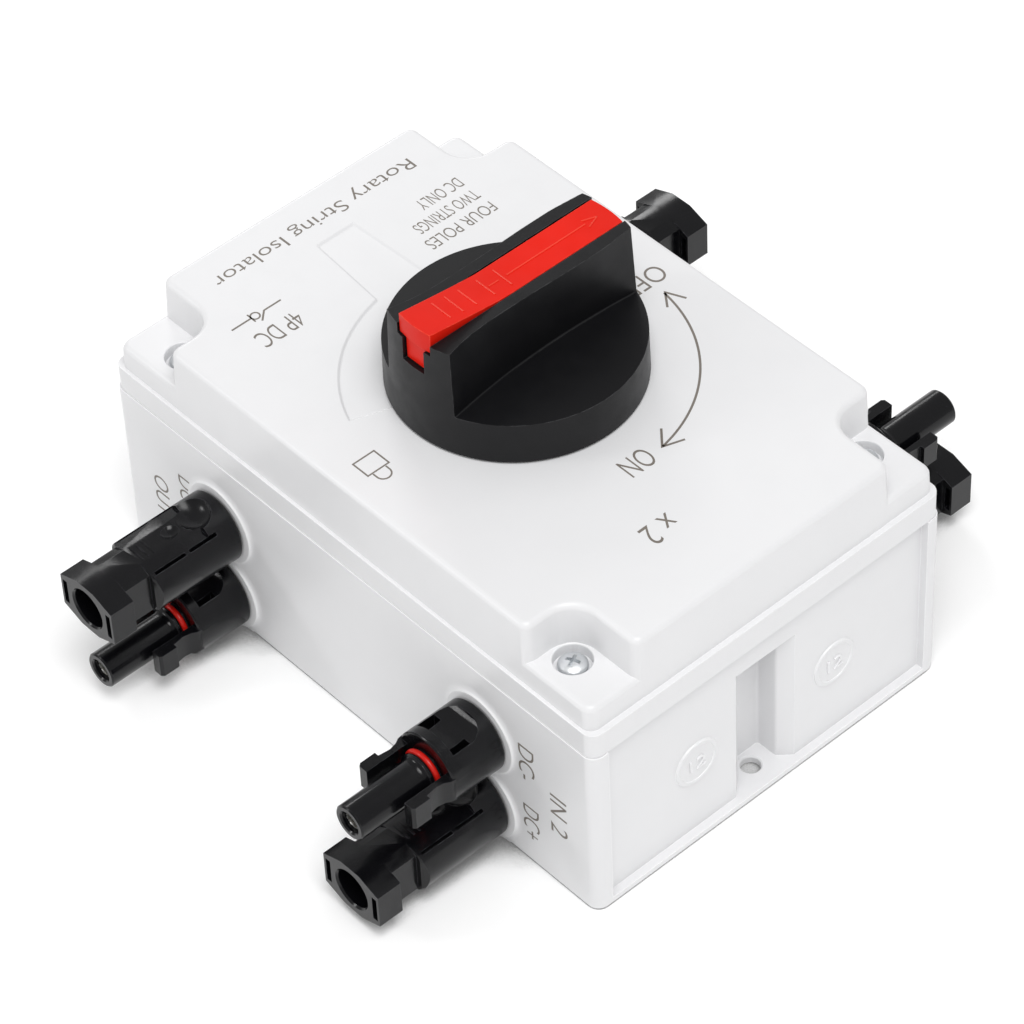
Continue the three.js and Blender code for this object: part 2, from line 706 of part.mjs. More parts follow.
// A lead runs from its connector's contact, through the neck, to its terminal's flank.
function lead(socketType, deckZ, connectorZ) {
  const contactTip = socketType ? 26 : 33;
  const start = NECK_END - 0.6;
  const pin = alongX(PIN_R, [start - 1, contactTip], 0, 0, 8);
  const terminalX = CLAMP_HALF_X + GAP - SIDE;
  const terminalY = CLAMP_Y + CLAMP_LENGTH / 2 - CONNECTOR_Y;
  const rise = deckZ - connectorZ;
  const route = new THREE.CatmullRomCurve3([
    new THREE.Vector3(start, 0, 0),
    new THREE.Vector3(start - 9, 0, rise * 0.08),
    new THREE.Vector3((start + terminalX) / 2, terminalY / 2, rise / 2),
    new THREE.Vector3(terminalX + 10, terminalY, rise * 0.92),
    new THREE.Vector3(terminalX, terminalY, rise),
  ]);
  return tube(route, LEAD_R, 6, 8).add(pin);
}

// One connector with its nut, seal and lead, in a group turned to face out of its wall.
function buildConnector(string, direction, high) {
  const sideX = string === 2 ? 1 : -1;
  const sideY = direction === "in" ? 1 : -1;
  const tubeType = high === (direction === "in");
  const level = high ? "upper" : "lower";
  const tag = direction + "_" + string + "_" + level;
  const deck = (string === 2 ? 0 : 2) + (high ? 1 : 0);
  const z = high ? CONNECTOR_HIGH_Z : CONNECTOR_LOW_Z;
  const seat = new THREE.Group();
  seat.position.set(sideX * SIDE, sideY * CONNECTOR_Y, z);
  seat.rotation.z = sideX > 0 ? 0 : Math.PI;
  const plug = tubeType ? tubeConnector() : socketConnector();
  const kind = tubeType ? "tube_connector_" : "socket_connector_";
  add(kind + tag, plug, material(HANDLE_BLACK, 0.4), seat);
  add("panel_nut_" + tag, panelNut(), material(HANDLE_BLACK, 0.5), seat);
  if (tubeType) add("sealing_ring_" + tag, sealingRing(), material(SEAL_RED, 0.5), seat);
  // The lead bends towards the middle, which is its own group's +Y or -Y.
  const bend = new THREE.Group();
  bend.scale.y = sideX * sideY;
  add("lead_" + tag, lead(!tubeType, deckMiddle(deck), z), material(SEAL_BLACK, 0.6), bend);
  seat.add(bend);
  isolator.add(seat);
}

buildEnclosure();
buildHandle(CAM_Z + 2.4 + GAP);
buildSwitch();
for (const string of [1, 2]) {
  for (const direction of ["in", "out"]) {
    buildConnector(string, direction, true);
    buildConnector(string, direction, false);
  }
}

export default isolator;
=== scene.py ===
from math import atan2, cos, pi, radians, sin, sqrt, tan

import bmesh
import bpy
from mathutils import Matrix, Vector


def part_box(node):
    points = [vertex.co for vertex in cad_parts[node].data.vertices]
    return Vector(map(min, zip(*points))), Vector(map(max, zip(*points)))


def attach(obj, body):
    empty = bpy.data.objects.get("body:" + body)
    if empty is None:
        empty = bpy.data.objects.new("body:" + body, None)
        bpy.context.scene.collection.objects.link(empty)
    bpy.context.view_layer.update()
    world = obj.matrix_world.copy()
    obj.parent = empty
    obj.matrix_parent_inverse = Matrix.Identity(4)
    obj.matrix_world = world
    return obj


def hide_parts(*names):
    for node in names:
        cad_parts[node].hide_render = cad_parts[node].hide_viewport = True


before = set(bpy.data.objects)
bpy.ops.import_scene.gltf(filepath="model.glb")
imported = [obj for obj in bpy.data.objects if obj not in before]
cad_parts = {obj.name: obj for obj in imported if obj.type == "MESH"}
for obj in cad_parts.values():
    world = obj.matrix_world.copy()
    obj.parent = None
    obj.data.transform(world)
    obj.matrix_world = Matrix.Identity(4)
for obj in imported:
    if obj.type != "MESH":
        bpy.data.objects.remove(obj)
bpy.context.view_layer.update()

# Shapes are made in millimetres and scaled to metres when a piece is finished.
MM = 0.001


def node_box(node):
    low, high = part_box(node)
    return low / MM, high / MM


COVER_LOW, COVER_HIGH = node_box("front_cover")
BASE_HIGH_Z = node_box("rear_base")[1].z
KNOB_LOW, KNOB_HIGH = node_box("knob_body")
SLIDER_LOW, SLIDER_HIGH = node_box("lock_slider")
SIDE = COVER_HIGH.x
END = COVER_HIGH.y
TOP = COVER_HIGH.z

# Enclosure
CORNER_RADIUS = 3.0
WALL = 3.2
FLOOR = 2.6
PARTING = (BASE_HIGH_Z + COVER_LOW.z) / 2
HALF_SEAM = 0.04
LEDGE_Z = PARTING + 6.9
BLOCK_X = SIDE - 1.35
BLOCK_Y = END - 2.0
PAD_Z = TOP - 10.8
NOTCH_X = SIDE - 15.0
NOTCH_Y = END - 21.3
NOTCH_RADIUS = 6.8
SCREW_X, SCREW_Y = (
    sum(c) / 2 for c in list(zip(*node_box("cover_screw_4")))[:2]
)
SCREW_BOSS_R = 6.3
SCREW_HOLE_R = 2.3
WELL_R = 4.4
WELL_Z = TOP - 13.7
PANEL_DEPTH = 2.0
PANEL_HALF = 48.0
SILL_Z = 2.0
CHANNEL_HALF = 5.8
CHANNEL_BACK = END - 10.4
CHANNEL_FLARE = END - 4.8
CHANNEL_MOUTH = 9.0
CHANNEL_TOP = 41.5
MOUNT_HOLE_R = 2.4
MOUNT_HOLE_Y = END - 6.6
KNOCKOUT_R = 6.25
KNOCKOUT_X = 21.0
KNOCKOUT_Z = 23.5
KNOCKOUT_FACE = 0.3
CAVITY_X = SIDE - WALL
CAVITY_Y = END - PANEL_DEPTH - 2.8

# Knob and slider
KNOB_R = KNOB_HIGH.x
KNOB_DISC_Z = KNOB_LOW.z + 11
KNOB_DRAFT = 0.6
SLOT_HALF = 5.3
SLOT_Z = 100.3
WEB_SLOT_HALF = 3.4
WEB_HALF = 3.1
SPINDLE_SOCKET_HALF = 3.1

# Connectors
TAGS = [
    direction + "_" + string + "_" + level
    for string in "12"
    for direction in ("in", "out")
    for level in ("upper", "lower")
]
RING_R = 9.1


def is_tube(tag):
    return tag.startswith("in") == tag.endswith("upper")


# ---- Solids ----
def mesh_object(vertices, faces):
    mesh = bpy.data.meshes.new("solid")
    mesh.from_pydata([tuple(v) for v in vertices], [], faces)
    work = bmesh.new()
    work.from_mesh(mesh)
    bmesh.ops.remove_doubles(work, verts=work.verts, dist=1e-4)
    bmesh.ops.recalc_face_normals(work, faces=work.faces)
    work.to_mesh(mesh)
    work.free()
    solid = bpy.data.objects.new("solid", mesh)
    bpy.context.scene.collection.objects.link(solid)
    return solid


def loft(rings, loop=False):
    """A solid through rings of equally many points, with flat ends unless it is a loop."""
    count = len(rings[0])
    faces = []
    if not loop:
        last = (len(rings) - 1) * count
        faces = [tuple(range(count)), tuple(range(last, last + count))]
    for level in range(len(rings) if loop else len(rings) - 1):
        low = level * count
        high = (level + 1) % len(rings) * count
        for i in range(count):
            j = (i + 1) % count
            faces.append((low + i, low + j, high + j, high + i))
    return mesh_object([point for ring in rings for point in ring], faces)


def outline(corners, inset=0.0, steps=6):
    """An anticlockwise polygon of (x, y, radius) corners, moved inwards and rounded."""
    tight = 0.05
    edges = []
    for (x, y, _), (next_x, next_y, _) in zip(corners, corners[1:] + corners[:1]):
        along = Vector((next_x - x, next_y - y)).normalized()
        inwards = Vector((-along.y, along.x))
        edges.append((Vector((x, y)) + inwards * inset, along))
    points = []
    for i, (_, _, radius) in enumerate(corners):
        (start, along), (onward, after) = edges[i - 1], edges[i]
        turn = along.cross(after)
        corner = start + along * ((onward - start).cross(after) / turn)
        side = 1 if turn > 0 else -1
        radius = max(radius - side * inset, tight)
        sweep = atan2(abs(turn), along.dot(after))
        begin = corner - along * (radius * tan(sweep / 2))
        outwards = Vector((along.y, -along.x)) * side
        centre = begin - outwards * radius
        for step in range(steps + 1):
            angle = side * sweep * step / steps
            turned = Matrix.Rotation(angle, 2) @ outwards
            points.append(centre + turned * radius)
    return points


def rectangle(half_x, half_y, radius):
    signs = ((1, -1), (1, 1), (-1, 1), (-1, -1))
    return [(sx * half_x, sy * half_y, radius) for sx, sy in signs]


def flat(points, z):
    return [Vector((p[0], p[1], z)) for p in points]


def prism(points, low, high):
    return loft([flat(points, low), flat(points, high)])


def box(x, y, z):
    corners = [(x[0], y[0]), (x[1], y[0]), (x[1], y[1]), (x[0], y[1])]
    return prism(corners, z[0], z[1])


def circle(radius, z, steps):
    return [
        Vector((radius * cos(2 * pi * i / steps), radius * sin(2 * pi * i / steps), z))
        for i in range(steps)
    ]


def lathe(profile, steps=64, loop=False):
    """A solid turned about Z from (radius, height) points."""
    return loft([circle(max(r, 1e-5), z, steps) for r, z in profile], loop)


def rod(radius, low, high):
    """The profile of a plain round bar."""
    return [(0, low), (radius, low), (radius, high), (0, high)]


def moved(solid, matrix):
    solid.data.transform(matrix)
    if matrix.determinant() < 0:
        solid.data.flip_normals()
    return solid


def shifted(solid, x=0, y=0, z=0):
    return moved(solid, Matrix.Translation((x, y, z)))


# Turns a solid made along Z so that it lies along X, or along Y.
TO_X = Matrix.Rotation(pi / 2, 4, "Y")
TO_Y = Matrix.Rotation(-pi / 2, 4, "X")


def settle(solid):
    """Applies the modifiers."""
    graph = bpy.context.evaluated_depsgraph_get()
    mesh = bpy.data.meshes.new_from_object(solid.evaluated_get(graph))
    solid.modifiers.clear()
    solid.data = mesh
    return solid


def combined(solid, tools, operation):
    for tool in tools:
        modifier = solid.modifiers.new("combine", "BOOLEAN")
        modifier.operation = operation
        modifier.solver = "EXACT"
        modifier.object = tool
        settle(solid)
        bpy.data.objects.remove(tool)
    return solid


def cut(solid, *tools):
    return combined(solid, tools, "DIFFERENCE")


def joined(solid, *tools):
    return combined(solid, tools, "UNION")


def kept(solid, *tools):
    return combined(solid, tools, "INTERSECT")


def bevelled(solid, width, segments=2, angle=35, where=None):
    """Rounds the edges sharper than angle, or only those whose middle passes where."""
    work = bmesh.new()
    work.from_mesh(solid.data)
    weights = work.edges.layers.float.new("bevel_weight_edge")
    for edge in work.edges:
        if len(edge.link_faces) == 2 and edge.calc_face_angle(0) > radians(angle):
            middle = (edge.verts[0].co + edge.verts[1].co) / 2
            edge[weights] = 1.0 if where is None or where(middle) else 0.0
    work.to_mesh(solid.data)
    work.free()
    modifier = solid.modifiers.new("bevel", "BEVEL")
    modifier.width = width
    modifier.segments = segments
    modifier.limit_method = "WEIGHT"
    return settle(solid)


def quarter(radius, steps=5):
    """(inset, drop) pairs of a rounded top edge, from its foot to the flat."""
    angles = [pi / 2 * i / steps for i in range(steps + 1)]
    return [(radius * (1 - cos(a)), radius * (1 - sin(a))) for a in angles]


def rounded_block(corners, low, high, top_radius, bottom_radius=0.0):
    rings = []
    if bottom_radius:
        for inset, rise in reversed(quarter(bottom_radius, 3)):
            rings.append(flat(outline(corners, inset), low + rise))
    else:
        rings.append(flat(outline(corners), low))
    for inset, drop in quarter(top_radius):
        rings.append(flat(outline(corners, inset), high - drop))
    return loft(rings)


# ---- Materials ----
class Shader:
    """One procedural material: a principled shader and the textures that drive it."""

    def __init__(self, name):
        self.material = bpy.data.materials.new(name)
        self.material.use_nodes = True
        self.tree = self.material.node_tree
        self.tree.nodes.clear()
        self.shader = self.add("ShaderNodeBsdfPrincipled")
        output = self.add("ShaderNodeOutputMaterial")
        self.link(self.shader.outputs["BSDF"], output.inputs["Surface"])
        self.place = self.add("ShaderNodeTexCoord").outputs["Object"]

    def add(self, kind, **settings):
        node = self.tree.nodes.new(kind)
        for key, value in settings.items():
            setattr(node, key, value)
        return node

    def link(self, source, target):
        self.tree.links.new(source, target)

    def noise(self, size, detail=2.0, stretch=(1, 1, 1)):
        """Noise whose features are about size millimetres across."""
        mapping = self.add("ShaderNodeMapping")
        mapping.inputs["Scale"].default_value = stretch
        self.link(self.place, mapping.inputs["Vector"])
        noise = self.add("ShaderNodeTexNoise")
        noise.inputs["Scale"].default_value = 1 / (size * MM)
        noise.inputs["Detail"].default_value = detail
        self.link(mapping.outputs["Vector"], noise.inputs["Vector"])
        return noise.outputs["Fac"]

    def ranged(self, source, low, high, start=0.3, stop=0.7):
        node = self.add("ShaderNodeMapRange")
        for key, value in zip(
            ("From Min", "From Max", "To Min", "To Max"), (start, stop, low, high)
        ):
            node.inputs[key].default_value = value
        self.link(source, node.inputs["Value"])
        return node.outputs["Result"]

    def blended(self, share, first, second):
        node = self.add("ShaderNodeMix", data_type="RGBA")
        self.link(share, node.inputs["Factor"])
        for socket, value in ((node.inputs[6], first), (node.inputs[7], second)):
            if isinstance(value, bpy.types.NodeSocket):
                self.link(value, socket)
            else:
                socket.default_value = (*value, 1)
        return node.outputs[2]

    def bump(self, source, height, normal=None):
        node = self.add("ShaderNodeBump")
        node.inputs["Distance"].default_value = height * MM
        self.link(source, node.inputs["Height"])
        if normal:
            self.link(normal, node.inputs["Normal"])
        return node.outputs["Normal"]

    def edges(self, radius):
        """A mask that is 1 along sharp edges."""
        soft = self.add("ShaderNodeBevel", samples=4)
        soft.inputs["Radius"].default_value = radius * MM
        plain = self.add("ShaderNodeNewGeometry")
        facing = self.add("ShaderNodeVectorMath", operation="DOT_PRODUCT")
        self.link(soft.outputs["Normal"], facing.inputs[0])
        self.link(plain.outputs["Normal"], facing.inputs[1])
        return self.ranged(facing.outputs["Value"], 1.0, 0.0, 0.80, 0.97)


def plastic(
    name, colour, roughness, grain, shade=0.9, painted_edge_highlight=None, edge=(0.35, 0.15), level=0.5
):
    """A moulded plastic.

    grain is (size, height) in millimetres, shade is how dark its darker patches are, the edge colour
    is a painted highlight laid along its sharp edges and broken up by noise, edge is (radius in
    millimetres, least share), and level is the specular level.
    """
    patch_size, smear_size, breakup_size, ripple_size = 14, 5, 2.2, 9
    made = Shader(name)
    darker = tuple(c * shade for c in colour)
    tint = made.blended(made.ranged(made.noise(patch_size, 3), 0, 1), darker, colour)
    rough = made.ranged(made.noise(smear_size, 4), roughness - 0.05, roughness + 0.06)
    # Painted highlight: a lighter colour along sharp edges, broken up by noise, stands in for the
    # light that rounded edges catch.
    if painted_edge_highlight:
        highlight_share = made.add("ShaderNodeMath", operation="MULTIPLY")
        made.link(made.edges(edge[0]), highlight_share.inputs[0])
        highlight_breakup = made.ranged(made.noise(breakup_size, 3), edge[1], 1, 0.4, 0.6)
        made.link(highlight_breakup, highlight_share.inputs[1])
        tint = made.blended(highlight_share.outputs[0], tint, painted_edge_highlight)
    normal = made.bump(made.noise(grain[0], 3), grain[1])
    normal = made.bump(made.noise(ripple_size, 1), grain[1] * 2.5, normal)
    made.link(tint, made.shader.inputs["Base Color"])
    made.link(rough, made.shader.inputs["Roughness"])
    made.link(normal, made.shader.inputs["Normal"])
    made.shader.inputs["Specular IOR Level"].default_value = level
    return made.material


def metal(name, colour, tarnish, roughness, stretch=(1, 1, 1)):
    made = Shader(name)
    tint = made.blended(made.ranged(made.noise(1.8, 4), 0, 1), colour, tarnish)
    rough = made.ranged(made.noise(0.7, 3, stretch), roughness - 0.08, roughness + 0.14)
    normal = made.bump(made.noise(0.25, 2, stretch), 0.02)
    made.link(tint, made.shader.inputs["Base Color"])
    made.link(rough, made.shader.inputs["Roughness"])
    made.link(normal, made.shader.inputs["Normal"])
    made.shader.inputs["Metallic"].default_value = 1.0
    return made.material


# The edge colours given to these plastics are painted highlights along their sharp edges.
WHITE = plastic(
    "moulded_white", (0.80, 0.80, 0.81), 0.34, (0.35, 0.006), shade=0.985,
    painted_edge_highlight=(0.95, 0.95, 0.96), edge=(0.4, 0.95)
)
BLACK = plastic(
    "knob_black", (0.0055, 0.0055, 0.0065), 0.40, (0.3, 0.012),
    painted_edge_highlight=(0.060, 0.060, 0.063), level=0.24
)
PLUG_BLACK = plastic(
    "plug_black", (0.0035, 0.0035, 0.0045), 0.20, (0.5, 0.010),
    painted_edge_highlight=(0.040, 0.040, 0.045), level=0.30
)
# Painted highlight: the slider's raised lines get a lighter, more orange red than the slider itself.
RED_LINE_HIGHLIGHT = plastic("slider_line_painted_highlight", (0.86, 0.05, 0.024), 0.26, (0.4, 0.006), level=0.4)
RED = plastic(
    "slider_red", (0.77, 0.014, 0.005), 0.34, (0.4, 0.006),
    painted_edge_highlight=(0.90, 0.09, 0.05), level=0.12
)
RUBBER = plastic("black_rubber", (0.022, 0.022, 0.024), 0.62, (0.25, 0.02))
RED_RUBBER = plastic("red_rubber", (0.60, 0.012, 0.007), 0.30, (0.4, 0.01), level=0.3)
GREY = plastic("switch_grey", (0.05, 0.055, 0.062), 0.5, (0.3, 0.015), painted_edge_highlight=(0.1, 0.1, 0.11))
INK = plastic("print_ink", (0.21, 0.185, 0.16), 0.55, (0.3, 0.004), shade=0.8)
ZINC = metal("zinc_plate", (0.88, 0.90, 0.92), (0.74, 0.76, 0.77), 0.36)
COPPER = metal("contact_metal", (0.80, 0.50, 0.34), (0.62, 0.36, 0.22), 0.30, (1, 1, 6))
SILVER = metal("tinned_contact", (0.86, 0.85, 0.82), (0.70, 0.69, 0.66), 0.2, (6, 1, 1))


# ---- Finishing ----
def smoothed(piece, angle=32):
    piece.data.shade_smooth()
    piece.data.set_sharp_from_angle(angle=radians(angle))
    modifier = piece.modifiers.new("even_shading", "WEIGHTED_NORMAL")
    modifier.keep_sharp = True


def finished(piece, name, material, body, slot, *nodes):
    piece.name = name
    piece.data.name = name
    piece.data.transform(Matrix.Scale(MM, 4))
    piece.data.materials.clear()
    piece.data.materials.append(material)
    smoothed(piece)
    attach(piece, body)
    if nodes:
        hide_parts(*nodes)
    return piece


def copied(mesh_source, matrix):
    """Another object with its own copy of a solid's mesh."""
    twin = bpy.data.objects.new("solid", mesh_source.data.copy())
    bpy.context.scene.collection.objects.link(twin)
    return moved(twin, matrix)


def four_corners(make):
    return [make(sx, sy) for sx in (-1, 1) for sy in (-1, 1)]


def at_screws(profile, steps):
    """The same turned solid on the axis of each cover screw."""
    return four_corners(
        lambda sx, sy: shifted(lathe(profile, steps), sx * SCREW_X, sy * SCREW_Y)
    )


# ---- Camera, light and floor ----
def place_camera():
    azimuth, elevation, roll = radians(139.925), radians(45.714), radians(-3.062)
    distance, aside, above = 1.06478, 0.003839, -0.019943
    back = Vector(
        (sin(azimuth) * cos(elevation), -cos(azimuth) * cos(elevation), sin(elevation))
    )
    level_right = (-back).cross(Vector((0, 0, 1))).normalized()
    level_up = level_right.cross(-back)
    right = level_right * cos(roll) + level_up * sin(roll)
    up = level_up * cos(roll) - level_right * sin(roll)
    camera = bpy.data.objects.new("camera", bpy.data.cameras.new("camera"))
    camera.data.lens = 161.8
    camera.data.sensor_width = 36.0
    camera.data.clip_start = 0.05
    axes = Matrix((right, up, back)).transposed().to_4x4()
    place = back * distance - right * aside - up * above
    camera.matrix_world = Matrix.Translation(place) @ axes
    bpy.context.scene.collection.objects.link(camera)
    bpy.context.scene.camera = camera


def add_light(name, place, target, size, power):
    light = bpy.data.objects.new(name, bpy.data.lights.new(name, "AREA"))
    light.data.shape = "RECTANGLE"
    light.data.size, light.data.size_y = size
    light.data.energy = power
    light.location = place
    direction = Vector(target) - Vector(place)
    light.rotation_mode = "QUATERNION"
    light.rotation_quaternion = direction.to_track_quat("-Z", "Y")
    bpy.context.scene.collection.objects.link(light)


def build_studio():
    scene = bpy.context.scene
    scene.view_settings.view_transform = "Standard"
    world = bpy.data.worlds.new("studio")
    scene.world = world
    world.use_nodes = True
    background = world.node_tree.nodes["Background"]
    background.inputs["Color"].default_value = (1, 1, 1, 1)
    background.inputs["Strength"].default_value = 0.50
    add_light("key_softbox", (0.27, 0.49, 1.28), (0, 0, 0.05), (0.7, 0.7), 11.1)
    add_light("rim_softbox", (-0.63, -1.08, 0.63), (0, 0, 0.03), (0.4, 0.3), 3.0)
    add_light("side_softbox", (1.05, -0.80, 0.70), (0, 0, 0.03), (0.25, 0.25), 2.2)
    made = Shader("pale_floor")
    pale, paler, contact = (0.95, 0.95, 0.95), (0.96, 0.96, 0.96), (0.10, 0.10, 0.10)
    tint = made.blended(made.ranged(made.noise(60, 2), 0, 1), pale, paler)
    # Painted shade: the floor's colour darkens towards the dark contact colour in narrow gaps, inside
    # the mounting holes and under the enclosure's edge, where shadow falls.
    closeness = made.add("ShaderNodeAmbientOcclusion", samples=8)
    closeness.inputs["Distance"].default_value = 12 * MM
    tint = made.blended(made.ranged(closeness.outputs["AO"], 0, 1, 0.28, 0.45), contact, tint)
    made.link(tint, made.shader.inputs["Base Color"])
    made.shader.inputs["Emission Color"].default_value = (1, 1, 1, 1)
    made.shader.inputs["Emission Strength"].default_value = 0.10
    made.shader.inputs["Roughness"].default_value = 0.9
    made.shader.inputs["Specular IOR Level"].default_value = 0.1
    half = 3.0
    floor_z = -0.0002
    corners = [(-half, -half), (half, -half), (half, half), (-half, half)]
    floor = mesh_object(flat(corners, floor_z), [(0, 1, 2, 3)])
    floor.name = "floor"
    floor.data.materials.append(made.material)


# ---- Enclosure ----
def wall_lathe(profile, sx, y, z, steps=72):
    """A solid turned about X that stands on the wall on side sx, its heights measured outwards."""
    turn = TO_X if sx > 0 else Matrix.Rotation(-pi / 2, 4, "Y")
    return moved(lathe(profile, steps), Matrix.Translation((sx * SIDE, y, z)) @ turn)


def seats():
    """(side, y, z) of each connector, from the CAD nodes."""
    found = {}
    for tag in TAGS:
        kind = "tube_connector_" if is_tube(tag) else "socket_connector_"
        low, high = node_box(kind + tag)
        middle = (low + high) / 2
        found[tag] = (1 if middle.x > 0 else -1, middle.y, middle.z)
    return found


SEATS = seats()


def collar(sx, y, z):
    foot, top, rise, soft = 12.3, 10.6, 0.8, 5
    profile = [(0.0, -1.0), (foot, -1.0), (foot, 0.0)]
    for i in range(1, soft + 1):
        angle = pi / 2 * i / soft
        profile.append((foot - (foot - top) * sin(angle), rise * (1 - cos(angle)) * 0.75))
    profile += [(top - 0.1, rise * 0.9), (top - 0.4, rise), (0.0, rise)]
    return wall_lathe(profile, sx, y, z)


def bore_from_wall(sx, y, z, radius, depth):
    return wall_lathe(rod(radius, -depth, 2), sx, y, z, 40)


def end_cut(sy):
    """What an end wall loses: the panel recess, and the pocket over a mounting hole."""
    face = END - PANEL_DEPTH
    near, far = sorted((sy * face, sy * (END + 5)))
    recess = box((-PANEL_HALF, PANEL_HALF), (near, far), (SILL_Z, PARTING + 4))
    half = [
        (CHANNEL_MOUTH + 4, face + 4, 0.1),
        (CHANNEL_MOUTH, face, 1.6),
        (CHANNEL_HALF, CHANNEL_FLARE, 1.2),
        (CHANNEL_HALF, CHANNEL_BACK, 0.8),
    ]
    whole = half + [(-x, y, r) for x, y, r in half[::-1]]
    whole = [(x, sy * y, r) for x, y, r in whole]
    if sy > 0:
        whole = whole[::-1]
    pocket = prism(outline(whole), SILL_Z, CHANNEL_TOP)
    return [recess, pocket]


def knockout(sx, sy):
    """A raised disc with a soft rim, on an end panel; its size mark is made in knockout_marks."""
    r = KNOCKOUT_R
    profile = [
        (0, -0.5), (r + 0.3, -0.5), (r + 0.3, 0), (r, 0.15), (r - 0.12, 0.45), (r - 0.4, 0.6),
        (r - 0.9, 0.6), (r - 1.15, 0.45), (r - 1.2, 0.3), (0, KNOCKOUT_FACE),
    ]
    turn = Matrix.Rotation(-pi / 2 * sy, 4, "X")
    place = Matrix.Translation((sx * KNOCKOUT_X, sy * (END - PANEL_DEPTH), KNOCKOUT_Z))
    return moved(lathe(profile, 56), place @ turn)


def build_base():
    corners = rectangle(SIDE, END, CORNER_RADIUS)
    shell = rounded_block(corners, 0, PARTING - HALF_SEAM, 0.1, 0.7)
    seat_list = list(SEATS.values())
    shell = joined(shell, *[collar(*seat) for seat in seat_list])
    below = box((-2 * SIDE, 2 * SIDE), (-END, END), (-20, 0))
    shell = cut(shell, below, *end_cut(1), *end_cut(-1))
    cavity = box((-CAVITY_X, CAVITY_X), (-CAVITY_Y, CAVITY_Y), (FLOOR, PARTING + 1))
    housing_wall = 3
    housing_half = CHANNEL_HALF + housing_wall
    housing_y = CHANNEL_BACK - housing_wall
    housing_top = CHANNEL_TOP + housing_wall
    for sy in (-1, 1):
        near, far = sorted((sy * housing_y, sy * (CAVITY_Y + 1)))
        housing = box((-housing_half, housing_half), (near, far), (0, housing_top))
        cavity = cut(cavity, housing)
    shell = cut(shell, cavity)
    bosses = at_screws(rod(SCREW_BOSS_R, FLOOR - 1, PARTING - 0.4), 40)
    shell = joined(shell, *bosses, *four_corners(knockout))
    hole_bottom = 29
    holes = at_screws(rod(SCREW_HOLE_R, hole_bottom, PARTING + 2), 32)
    chamfer = 0.35
    wide_r = MOUNT_HOLE_R + chamfer
    mount_hole = [
        (0, -1), (MOUNT_HOLE_R, -1), (MOUNT_HOLE_R, SILL_Z - chamfer),
        (wide_r, SILL_Z + 0.02), (wide_r, SILL_Z + 2), (0, SILL_Z + 2),
    ]
    mount_holes = [shifted(lathe(mount_hole, 40), 0, sy * MOUNT_HOLE_Y) for sy in (-1, 1)]
    neck_r = 5.5
    necks = [bore_from_wall(*seat, neck_r, WALL + 2) for seat in seat_list]
    shell = cut(shell, *holes, *mount_holes, *necks)
    finished(shell, "base_shell", WHITE, "base", "enclosure_plastic", "rear_base")


def cover_corners(grow=0.0, notch_grow=0.0):
    """The notched outline of the cover's raised block, its sides and notches moved outwards."""
    half_x, half_y, round_edge = BLOCK_X + grow, BLOCK_Y + grow * 1.5, 2.4
    notch_x, notch_y = NOTCH_X + notch_grow, NOTCH_Y + notch_grow
    quadrant = [
        (half_x, notch_y, round_edge),
        (notch_x, notch_y, NOTCH_RADIUS),
        (notch_x, half_y, round_edge),
    ]
    corners = []
    for sx, sy in ((1, 1), (-1, 1), (-1, -1), (1, -1)):
        part = [(sx * x, sy * y, r) for x, y, r in quadrant]
        corners += part if sx * sy > 0 else part[::-1]
    return corners


def guide_recess():
    """The shallow sunk sector and tab beside the knob, as the solid that it takes away."""
    outer, inner, depth = 39.7, 24.0, 0.42
    tab_low, tab_high, tab_end = -6.0, 5.5, -62.0
    start, stop, steps = radians(-79), radians(-20), 28
    arc = [
        (outer * cos(a), outer * sin(a))
        for a in (start + (stop - start) * i / steps for i in range(steps + 1))
    ]
    back = [
        (inner * cos(stop), inner * sin(stop)), (-7.5, -24.0), (-7.0, -38.5), (tab_low, tab_end)
    ]
    points = [(tab_high, tab_end)] + arc + back
    corners = [(x, y, 0.3) for x, y in points]
    slope, steps = 0.8, 6
    rings = [flat(outline(corners, 0, 2), TOP + 1)]
    for i in range(steps + 1):
        share = i / steps
        sunk = depth * (1 - cos(pi * share)) / 2
        rings.append(flat(outline(corners, slope * share, 2), TOP - sunk))
    return loft(rings)


